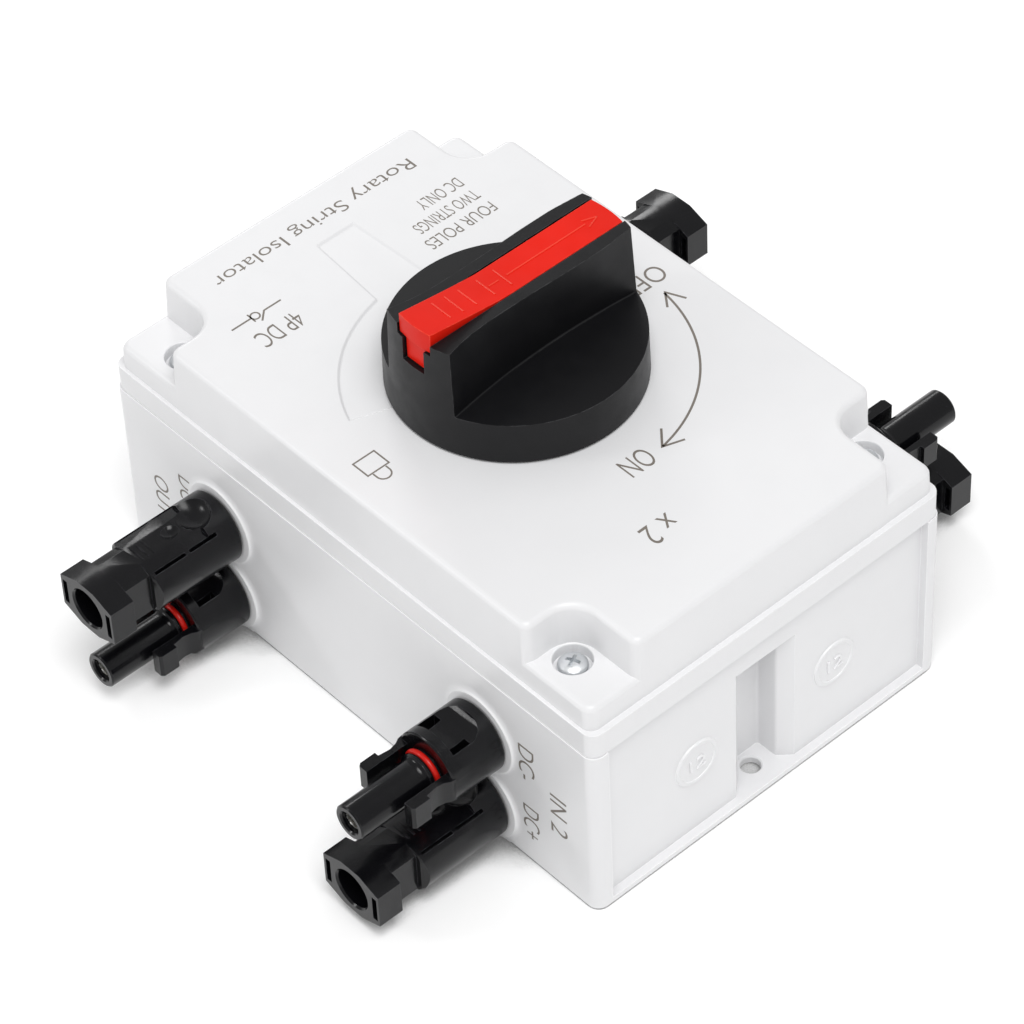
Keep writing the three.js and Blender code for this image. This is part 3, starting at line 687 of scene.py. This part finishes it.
def build_cover():
    low = PARTING + HALF_SEAM
    step, draft, fillet, pad_round = 0.28, 0.3, 1.5, 2.6
    rim = rectangle(SIDE - step, END - step, CORNER_RADIUS)
    flange = rounded_block(rim, low, LEDGE_Z, 0.15, 0.04)
    rings = [flat(outline(cover_corners(draft, 0.8)), LEDGE_Z - 2)]
    for inset, drop in quarter(fillet, 7):
        rings.append(flat(outline(cover_corners(), inset), TOP - drop))
    block = loft(rings)
    slack = 0.03
    pad_x, pad_y = BLOCK_X - slack, BLOCK_Y - slack
    pad = rectangle(pad_x, pad_y, pad_round)
    foot = rectangle(pad_x + draft, pad_y + draft * 1.5, pad_round)
    pad_rings = [flat(outline(foot), LEDGE_Z - 2)]
    for inset, drop in quarter(1.4, 6):
        inset -= draft * 0.5 * (inset < 0.01)
        pad_rings.append(flat(outline(pad, inset), PAD_Z - drop))
    shell = joined(flange, loft(pad_rings), block)
    shell = cut(shell, guide_recess())
    roof, corner_roof = TOP - 2.8, WELL_Z - 2.4
    inner_y, shelf_x, shelf_y = CAVITY_Y - 0.6, NOTCH_X - WALL, NOTCH_Y - WALL
    hollow = box((-CAVITY_X, CAVITY_X), (-inner_y, inner_y), (low - 1, corner_roof))
    hollow = joined(
        hollow,
        box((-CAVITY_X + 0.01, CAVITY_X - 0.01), (-shelf_y, shelf_y), (low, roof)),
        box((-shelf_x, shelf_x), (-inner_y + 0.01, inner_y - 0.01), (low, roof - 0.01)),
    )
    shell = cut(shell, hollow)
    shell = joined(shell, *at_screws(rod(SCREW_BOSS_R, low + 0.4, corner_roof + 1), 40))
    lip, lip_steps = 0.35, 4
    well = [(0, WELL_Z), (WELL_R, WELL_Z)]
    for i in range(lip_steps + 1):
        angle = pi / 2 * i / lip_steps
        well.append((WELL_R + lip * (1 - cos(angle)), PAD_Z - lip * (1 - sin(angle)) + 0.01))
    well += [(WELL_R + lip, TOP - 3), (0, TOP - 3)]
    wells = at_screws(well, 56)
    holes = at_screws(rod(SCREW_HOLE_R, low - 2, WELL_Z + 1), 32)
    spindle_r, pocket_r, pocket_z = 4.3, 6.5, TOP - 3
    centre = [
        (0, TOP - 12), (spindle_r, TOP - 12), (spindle_r, pocket_z), (pocket_r, pocket_z),
        (pocket_r, TOP + 2), (0, TOP + 2),
    ]
    shell = cut(shell, *wells, *holes, lathe(centre, 48))
    finished(shell, "cover_shell", WHITE, "base", "enclosure_plastic", "front_cover")


def build_cover_screws():
    """Pan heads with a cross recess on plain shanks."""
    for index, (sx, sy) in enumerate(four_corners(lambda sx, sy: (sx, sy))):
        node = "cover_screw_" + str(index + 1)
        low, high = node_box(node)
        head_r, height = 3.4, 2.4
        head_z = high.z - height
        shank_r, side, dome_steps = 2.0, 0.9, 7
        profile = [
            (0, low.z), (0.8, low.z), (shank_r, low.z + 2.5), (shank_r, head_z),
            (head_r - 0.2, head_z), (head_r, head_z + 0.2),
        ]
        for i in range(dome_steps):
            angle = pi / 2 * i / dome_steps
            profile.append((head_r * cos(angle), head_z + side + (height - side) * sin(angle)))
        profile.append((0, high.z))
        screw = lathe(profile, 48)
        for turn in (0, pi / 2):
            blade = loft([
                flat([(-0.9, -0.25), (0.9, -0.25), (0.9, 0.25), (-0.9, 0.25)], high.z - 1.6),
                flat([(-2.2, -0.5), (2.2, -0.5), (2.2, 0.5), (-2.2, 0.5)], high.z + 0.6),
            ])
            screw = cut(screw, moved(blade, Matrix.Rotation(turn, 4, "Z")))
        screw = bevelled(screw, 0.1, 2, 40)
        twist = Matrix.Rotation(radians(22 + 31 * index), 4, "Z")
        moved(screw, Matrix.Translation((sx * SCREW_X, sy * SCREW_Y, 0)) @ twist)
        finished(screw, "screw_" + str(index + 1), ZINC, "base", "zinc_steel", node)


# ---- Knob and slider ----
def grip_half_width(x, share):
    """Half width of the grip at x: share 0 at its foot, 1 at its top."""
    reach, sag = 27.0, 2.0
    foot = 9.95 + 0.75 * x / reach - sag * (1 - min(1, (x / reach) ** 2))
    stations = [
        (-30, 7.4), (-27.5, 7.8), (-19, 8.6), (-10, 8.6), (0, 8.3),
        (10, 8.15), (16, 8.25), (21, 8.7), (25, 9.5), (30, 10.8),
    ]
    for (x0, w0), (x1, w1) in zip(stations, stations[1:]):
        if x <= x1:
            t = (x - x0) / (x1 - x0)
            top = w0 + (w1 - w0) * t
            break
    else:
        top = stations[-1][1]
    return foot + (top - foot) * share


def side_void(sy):
    """The space beside the grip, above the disc."""
    reach, steps = 34.0, 34
    xs = [reach * (2 * i / steps - 1) for i in range(steps + 1)]
    rings = []
    levels = [(0.0, 0.35), (0.008, 0.12), (0.02, 0.0), (0.5, 0.0), (1.15, 0.0)]
    for share, push in levels:
        z = KNOB_DISC_Z + share * (KNOB_HIGH.z - KNOB_DISC_Z)
        inner = [(x, sy * (grip_half_width(max(-30, min(30, x)), share) + push)) for x in xs]
        outer = [(reach, sy * 40), (-reach, sy * 40)]
        rings.append(flat(inner + outer, z))
    return loft(rings)


def build_knob():
    foot, top = KNOB_LOW.z, KNOB_HIGH.z
    profile = [
        (0, foot), (KNOB_R - 0.3, foot), (KNOB_R, foot + 0.3), (KNOB_R - KNOB_DRAFT, top), (0, top)
    ]
    knob = lathe(profile, 144)
    knob = cut(knob, side_void(1), side_void(-1))
    reach = KNOB_R + 5
    slot = box((-reach, reach), (-SLOT_HALF, SLOT_HALF), (SLOT_Z, top + 3))
    web = box((1.7, reach), (-WEB_SLOT_HALF, WEB_SLOT_HALF), (SLIDER_LOW.z - 0.3, SLOT_Z + 1))
    key = (-SPINDLE_SOCKET_HALF, SPINDLE_SOCKET_HALF)
    socket = box(key, key, (foot - 1, foot + 11.8))
    knob = cut(knob, slot, web, socket)
    knob = bevelled(knob, 0.2, 2, 40, lambda p: p.z > foot + 5 and abs(p.y) > SLOT_HALF + 0.5)
    finished(knob, "turn_knob", BLACK, "knob", "handle_plastic", "knob_body")


def slider_top(x):
    flat_z, ramp_start, end_x = 102.9, 6.0, SLIDER_HIGH.x
    if x <= ramp_start:
        return flat_z
    share = (x - ramp_start) / (end_x - ramp_start)
    return flat_z + (SLIDER_HIGH.z - flat_z) * share ** 1.15


def build_slider():
    low_x, high_x, half, arm_z = SLIDER_LOW.x, SLIDER_HIGH.x, SLIDER_HIGH.y, 100.6
    steps = 26
    xs = [low_x + (high_x - low_x) * i / steps for i in range(steps + 1)]
    profile = [(x, slider_top(x)) for x in xs] + [(high_x, arm_z), (low_x, arm_z)]
    strip = loft([[Vector((x, y, z)) for x, z in profile] for y in (-half, half)])
    strip = kept(strip, lathe(rod(high_x, 90, 110), 144))
    web = box((2.0, high_x - 0.5), (-WEB_HALF, WEB_HALF), (SLIDER_LOW.z, arm_z + 1))
    strip = joined(strip, web)
    strip = bevelled(strip, 0.4, 3, 40)
    padlock_r, padlock_x, padlock_z = 2.5, 20.5, 97.5
    place = Matrix.Translation((padlock_x, 0, padlock_z)) @ TO_Y
    strip = cut(strip, moved(lathe(rod(padlock_r, -9, 9), 40), place))
    half_line, rise = 0.17, 0.18
    marks = [((x, -3.2), (x, 3.0)) for x in (20.2, 16.6, 12.8, 7.5, 2.7)]
    marks += [((6.8, 0.0), (4.0, 0.0)), ((1.6, 0.0), (-21.5, 0.0))]
    marks += [((-25.0, 0.0), (-21.5, 1.3)), ((-25.0, 0.0), (-21.5, -1.3))]
    finished(strip, "slider_red", RED, "slider", "slider_plastic", "lock_slider")
    # The lines use the lighter red, a painted highlight.
    lines = merged([raised_line(start, stop, half_line, rise) for start, stop in marks])
    finished(lines, "slider_lines", RED_LINE_HIGHLIGHT, "slider", "slider_plastic")


def raised_line(start, stop, half, rise):
    """A low ridge on the slider's top between two (x, y) points."""
    start, stop = Vector(start), Vector(stop)
    along = (stop - start).normalized()
    aside = Vector((-along.y, along.x))
    section = [
        (-half, -0.3), (half, -0.3), (half, rise * 0.4),
        (half * 0.5, rise), (-half * 0.5, rise), (-half, rise * 0.4),
    ]
    steps = 8
    rings = []
    for i in range(steps + 1):
        middle = start.lerp(stop, i / steps)
        ring = []
        for sideways, height in section:
            p = middle + aside * sideways
            ring.append(Vector((p.x, p.y, slider_top(middle.x) + height)))
        rings.append(ring)
    return loft(rings)


# ---- Connectors: made along +X from the wall's face, then placed on their seats ----
def along_x(section, start, stop):
    """A solid between two distances, from (y, z) points."""
    return loft([[Vector((x, y, z)) for y, z in section] for x in (start, stop)])


def round_bar(radius, start, stop, edge=0.0, steps=72):
    profile = rod(radius, start, stop)
    if edge:
        profile = [
            (0, start), (radius - edge, start), (radius, start + edge),
            (radius, stop - edge), (radius - edge, stop), (0, stop),
        ]
    return moved(lathe(profile, steps), TO_X)


def side_plate(points, half, sy):
    """A plate of (x, y) points on the flank given by sy, standing half above and below the axis."""
    return prism([(x, sy * y) for x, y in points], -half, half)


def ellipsoid(centre, radii, steps=40):
    rows = 20
    rings = [
        [
            Vector((
                centre[0] + radii[0] * cos(pi * i / rows),
                centre[1] + radii[1] * max(sin(pi * i / rows), 1e-4) * cos(2 * pi * j / steps),
                centre[2] + radii[2] * max(sin(pi * i / rows), 1e-4) * sin(2 * pi * j / steps),
            ))
            for j in range(steps)
        ]
        for i in range(rows + 1)
    ]
    return loft(rings)


START, NECK_END, NECK_R, WIRE_WAY_R = 1.1, -10.6, 5.2, 2.4


def tube_shape():
    band_start, band_end = 13.0, 15.7
    body = round_bar(RING_R, START, band_end, 0.35, 96)
    for sz in (-1, 1):
        window = [
            (3.6, 9.6), (3.9, 8.6), (4.9, 7.7), (6.6, 7.0), (8.8, 6.5), (10.8, 6.3),
            (band_start, 6.3), (band_start, 9.6),
        ]
        tool = loft([[Vector((x, y, sz * z)) for x, z in window] for y in (-5.9, 5.9)])
        body = cut(body, tool)
        for sy in (-1, 1):
            low_y, high_y = sorted((sy * 3.7, sy * 5.9))
            low_z, high_z = sorted((sz * 2.2, sz * 8.0))
            body = cut(body, box((8.0, band_start - 0.2), (low_y, high_y), (low_z, high_z)))
    for sy in (-1, 1):
        finger = [
            (15.0, 6.1), (27.4, 6.1), (27.4, 8.4), (26.7, 9.0), (22.5, 9.0),
            (22.5, 7.9), (19.5, 7.5), (17.5, 7.9), (16.3, 8.6), (15.0, 8.8),
        ]
        body = joined(body, side_plate(finger, 3.2, sy))
    body = bevelled(body, 0.22, 2, 35)
    tip = 37.9
    front = [
        (0, 14.5), (4.9, 14.5), (4.9, 15.9), (4.45, 16.1), (4.25, 16.3), (4.25, 17.4),
        (4.6, 17.55), (5.15, 17.7), (5.25, 18.0), (5.15, 18.6), (4.7, 18.9), (4.45, 19.3),
        (4.4, 20.0), (4.4, tip - 0.35), (4.05, tip), (0, tip),
    ]
    body = joined(body, moved(lathe(front, 72), TO_X), round_bar(NECK_R, NECK_END, START + 1))
    bore_r, mouth_r = 2.75, 3.1
    bore = [
        (0, band_end), (bore_r, band_end), (bore_r, tip - 0.4),
        (mouth_r, tip + 0.01), (mouth_r, tip + 2), (0, tip + 2),
    ]
    wire_way = round_bar(WIRE_WAY_R, NECK_END - 1, band_end + 1, steps=40)
    return cut(body, moved(lathe(bore, 56), TO_X), wire_way)


def facets(half_top, top, half_side, side):
    """A flat-topped section whose upper and lower faces slope down towards the flanks."""
    quadrant = [(half_side, side), (half_top, top)]
    upper = quadrant + [(-y, z) for y, z in reversed(quadrant)]
    return upper + [(-y, -z) for y, z in upper]


def socket_shape():
    panel_end, neck_end, tip = 25.4, 32.4, 38.9
    half_top, top, edge_y, edge_z, beyond = 3.0, 6.9, 7.05, 5.75, 9.5
    body = round_bar(RING_R, START, panel_end, 0.5, 96)
    for sz in (-1, 1):
        section = [
            (-edge_y, edge_z), (-half_top, top), (half_top, top), (edge_y, edge_z),
            (beyond, edge_z + 0.2), (beyond, 12), (-beyond, 12), (-beyond, edge_z + 0.2),
        ]
        section = [(y, sz * z) for y, z in section]
        body = cut(body, along_x(section, 8.6, panel_end + 5))
        body = cut(body, ellipsoid((8.6, 0, sz * 10.6), (5.2, 6.4, 4.6)))
        body = cut(body, ellipsoid((14.4, 0, sz * 9.3), (3.4, 3.0, 3.2)))
        for sy in (-1, 1):
            for start, stop in ((6.6, 14.4), (15.5, 24.3)):
                slot = box((start, stop), (-0.4, 0.4), (-2.6, 1.2))
                place = Matrix.Translation((0, sy * 6.75, sz * 5.6))
                lean = Matrix.Rotation(radians(-20 * sy * sz), 4, "X")
                flip = Matrix.Scale(sz, 4, (0, 0, 1))
                body = cut(body, moved(slot, place @ lean @ flip))
    for sy in (-1, 1):
        wedge = [
            (panel_end - 1.3, 9.4), (panel_end + 0.1, 7.2), (panel_end + 2, 7.2), (panel_end + 2, 9.4)
        ]
        body = cut(body, side_plate(wedge, beyond, sy))
    neck = along_x(facets(half_top, top, 6.1, 5.4), panel_end - 1, neck_end + 1)
    head = along_x(facets(half_top, top, 9.0, 4.6), neck_end, tip)
    ribs = [box((x, x + 0.35), (-2.4, 2.4), (top - 0.5, top + 0.14)) for x in (20.6, 22.2, 23.8)]
    body = joined(body, neck, head)
    body = bevelled(body, 0.22, 2, 35)
    body = joined(body, *ribs, round_bar(NECK_R, NECK_END, START + 1))
    floor, bore_r, mouth_r = 14, 5.0, 5.4
    cavity = [
        (0, floor), (bore_r, floor), (bore_r, tip - 0.5),
        (mouth_r, tip + 0.01), (mouth_r, tip + 2), (0, tip + 2),
    ]
    ways = []
    for sy in (-1, 1):
        low_y, high_y = sorted((sy * 6.85, sy * 8.35))
        ways.append(box((neck_end - 1, tip + 1), (low_y, high_y), (-3.5, 3.5)))
    wire_way = round_bar(WIRE_WAY_R, NECK_END - 1, floor + 1, steps=40)
    return cut(body, moved(lathe(cavity, 56), TO_X), wire_way, *ways)


def ring_shape():
    major, minor, middle, steps = 4.95, 0.7, 16.8, 20
    profile = [
        (major + minor * cos(2 * pi * i / steps), middle + minor * sin(2 * pi * i / steps))
        for i in range(steps)
    ]
    return moved(lathe(profile, 72, loop=True), TO_X)


def sleeve_shape():
    """The spring contact inside a tube."""
    outer, inner, start, tip = 2.7, 2.05, 28.0, 36.6
    profile = [
        (inner, start), (outer, start), (outer, tip - 0.3),
        (outer - 0.2, tip), (inner + 0.1, tip), (inner, tip - 0.3),
    ]
    return moved(lathe(profile, 48, loop=True), TO_X)


def pin_shape():
    """The contact pin inside a socket."""
    radius, start, tip, bore = 1.95, 17.0, 27.5, 1.66
    profile = [
        (bore, start), (radius, start), (radius, tip - 1.6), (radius - 0.5, tip - 0.4),
        (0.9, tip), (0, tip), (0, tip - 1.2), (bore, tip - 1.3),
    ]
    return moved(lathe(profile, 48), TO_X)


def build_connectors():
    shapes = {
        "tube": tube_shape(),
        "socket": socket_shape(),
        "ring": ring_shape(),
        "sleeve": sleeve_shape(),
        "pin": pin_shape(),
    }
    for tag, (sx, y, z) in SEATS.items():
        facing = Matrix.Rotation(0 if sx > 0 else pi, 4, "Z")
        seat = Matrix.Translation((sx * SIDE, y, z)) @ facing
        kind = "tube" if is_tube(tag) else "socket"
        plug = copied(shapes[kind], seat)
        node = kind + "_connector_" + tag
        finished(plug, kind + "_plug_" + tag, PLUG_BLACK, "base", "connector_plastic", node)
        if kind == "tube":
            ring = copied(shapes["ring"], seat)
            node = "sealing_ring_" + tag
            finished(ring, "red_ring_" + tag, RED_RUBBER, "base", "seal_red", node)
        contact = copied(shapes["sleeve" if kind == "tube" else "pin"], seat)
        finished(contact, "contact_" + tag, SILVER, "base", "contact_copper")
    for shape in shapes.values():
        bpy.data.objects.remove(shape)


# ---- Printed marks ----
INK_RISE = 0.03


def stroke(points, width=0.55, closed=False):
    """A thin ribbon of ink along (x, y) points, lying in the plane z = 0."""
    points = [Vector(p) for p in points]
    count = len(points)
    rings = []
    for i, point in enumerate(points):
        before = points[i - 1] if closed or i else None
        after = points[(i + 1) % count] if closed or i < count - 1 else None
        incoming = (point - before).normalized() if before else None
        outgoing = (after - point).normalized() if after else None
        along = ((incoming or outgoing) + (outgoing or incoming)).normalized()
        aside = Vector((-along.y, along.x))
        spread = width / 2
        if incoming and outgoing:
            spread /= max(0.4, sqrt((1 + incoming.dot(outgoing)) / 2))
        left, right = point + aside * spread, point - aside * spread
        rings.append([
            Vector((left.x, left.y, -INK_RISE)),
            Vector((right.x, right.y, -INK_RISE)),
            Vector((right.x, right.y, INK_RISE)),
            Vector((left.x, left.y, INK_RISE)),
        ])
    return loft(rings, closed)


def lettering(text, low, high):
    """Text as a thin solid that fills the rectangle from low to high."""
    curve = bpy.data.curves.new("text", "FONT")
    curve.body = text
    curve.offset = -0.008
    curve.extrude = 0.01
    curve.resolution_u = 6
    holder = bpy.data.objects.new("text", curve)
    bpy.context.scene.collection.objects.link(holder)
    graph = bpy.context.evaluated_depsgraph_get()
    mesh = bpy.data.meshes.new_from_object(holder.evaluated_get(graph))
    bpy.data.objects.remove(holder)
    solid = bpy.data.objects.new("solid", mesh)
    bpy.context.scene.collection.objects.link(solid)
    xs = [v.co.x for v in mesh.vertices]
    ys = [v.co.y for v in mesh.vertices]
    scale_x = (high[0] - low[0]) / (max(xs) - min(xs))
    scale_y = (high[1] - low[1]) / (max(ys) - min(ys))
    scale = Matrix.Diagonal((scale_x, scale_y, INK_RISE / 0.01, 1))
    start = Matrix.Translation((-min(xs), -min(ys), 0))
    return moved(solid, Matrix.Translation((low[0], low[1], 0)) @ scale @ start)


def merged(parts):
    """One object from several that don't touch."""
    work = bmesh.new()
    for part in parts:
        work.from_mesh(part.data)
        bpy.data.objects.remove(part)
    mesh = bpy.data.meshes.new("merged")
    work.to_mesh(mesh)
    work.free()
    whole = bpy.data.objects.new("merged", mesh)
    bpy.context.scene.collection.objects.link(whole)
    return whole


def arc_points(radius, start, stop, steps=40, centre=(0, 0)):
    return [
        (
            centre[0] + radius * cos(radians(start + (stop - start) * i / steps)),
            centre[1] + radius * sin(radians(start + (stop - start) * i / steps)),
        )
        for i in range(steps + 1)
    ]


def cover_marks():
    parts = [
        lettering("OFF", (-45.0, -3.6), (-34.2, 1.7)),
        lettering("ON", (-2.9, 36.6), (4.7, 42.4)),
        lettering("Rotary String Isolator", (-29.0, -71.0), (29.7, -66.0)),
        lettering("FOUR POLES", (-32.5, -45.5), (-12.7, -41.9)),
        lettering("TWO STRINGS", (-32.5, -51.3), (-14.2, -47.7)),
        lettering("DC ONLY", (-32.5, -57.0), (-20.0, -53.4)),
        lettering("4P DC", (23.0, -49.0), (35.0, -43.8)),
        lettering("x 2", (6.9, 54.5), (15.2, 60.4)),
    ]
    parts.append(stroke(arc_points(40.3, 173, 99)))
    parts.append(stroke([(-37.3, 8.8), (-40.3, 4.9), (-42.4, 9.6)]))
    parts.append(stroke([(-11.3, 41.6), (-6.2, 39.8), (-9.9, 35.6)]))
    body = [(39.2, -3.0), (45.2, -3.0), (45.2, 2.0), (39.2, 2.0)]
    parts.append(stroke(body, 0.4, closed=True))
    shackle = [(40.4, 2.3)] + arc_points(1.8, 180, 0, 14, (42.2, 3.6)) + [(44.0, 2.3)]
    parts.append(stroke(shackle, 0.4))
    symbol_y = -53.7
    parts.append(stroke([(22.7, symbol_y), (27.6, symbol_y), (30.0, symbol_y + 2.3)], 0.45))
    parts.append(stroke([(31.3, symbol_y), (37.0, symbol_y)], 0.45))
    parts.append(stroke(arc_points(1.1, 0, 345, 20, (30.2, symbol_y)), 0.4, closed=True))
    parts.append(stroke([(31.3, symbol_y - 1.5), (31.3, symbol_y + 1.5)], 0.4))
    marks = merged(parts)
    return shifted(marks, z=TOP)


def wall_marks(sx):
    """Marks beside the connectors; letter tops point to +Y on both walls."""
    string = "2" if sx > 0 else "1"
    rows = [
        ("DC-", 56.0, 61.0, 37.0, 26.3),
        ("DC+", 56.7, 61.8, 18.0, 7.7),
        ("IN " + string, 65.8, 71.0, 28.7, 16.5),
        ("OUT " + string, -68.7, -63.6, 29.2, 12.0),
        ("DC+", -59.0, -54.0, 35.6, 25.0),
        ("DC-", -59.0, -54.0, 16.5, 6.0),
    ]
    parts = []
    for text, low_y, high_y, start_z, stop_z in rows:
        # Written in a plane whose X is the reading direction and whose Y is the enclosure's Y.
        if sx > 0:
            parts.append(lettering(text, (-start_z, low_y), (-stop_z, high_y)))
        else:
            parts.append(lettering(text, (stop_z, low_y), (start_z, high_y)))
    marks = merged(parts)
    reading = Vector((0, 0, -sx))
    tops = Vector((0, 1, 0))
    axes = Matrix((reading, tops, reading.cross(tops))).transposed().to_4x4()
    return moved(marks, Matrix.Translation((sx * SIDE, 0, 0)) @ axes)


def knockout_marks():
    parts = []
    for sx in (-1, 1):
        for sy in (-1, 1):
            mark = lettering("12", (-2.3, -1.7), (2.3, 1.7))
            reading = Vector((-sy, 0, 0))
            up, outwards = Vector((0, 0, 1)), Vector((0, sy, 0))
            axes = Matrix((reading, up, outwards)).transposed().to_4x4()
            thick = Matrix.Diagonal((1, 1, 14, 1))
            face = END - PANEL_DEPTH + KNOCKOUT_FACE
            place = Vector((sx * KNOCKOUT_X, sy * face, KNOCKOUT_Z))
            parts.append(moved(mark, Matrix.Translation(place) @ axes @ thick))
    return merged(parts)


def build_marks():
    finished(cover_marks(), "cover_print", INK, "base", "enclosure_plastic")
    for sx, side in ((1, "right"), (-1, "left")):
        finished(wall_marks(sx), "wall_print_" + side, INK, "base", "enclosure_plastic")
    finished(knockout_marks(), "knockout_numbers", WHITE, "base", "enclosure_plastic")


# ---- Inner pieces that keep their CAD shape ----
def dress_inner_nodes():
    looks = [
        ("cover_gasket", RUBBER), ("knob_seal", RUBBER), ("drive_spindle", ZINC),
        ("switch_foot", GREY), ("pole_deck", GREY), ("moving_contact", COPPER),
        ("terminal", COPPER), ("rotor_shaft", BLACK), ("mechanism_housing", GREY),
        ("cam_plate", BLACK), ("snap_spring", ZINC), ("panel_nut", PLUG_BLACK), ("lead", RUBBER),
    ]
    for name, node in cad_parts.items():
        for start, material in looks:
            if name.startswith(start):
                node.data.materials.clear()
                node.data.materials.append(material)
                edge = node.modifiers.new("soft_edges", "BEVEL")
                edge.width = 0.25 * MM
                edge.segments = 2
                edge.limit_method = "ANGLE"
                edge.angle_limit = radians(40)


place_camera()
build_studio()
build_base()
build_cover()
build_cover_screws()
build_knob()
build_slider()
build_connectors()
build_marks()
dress_inner_nodes()
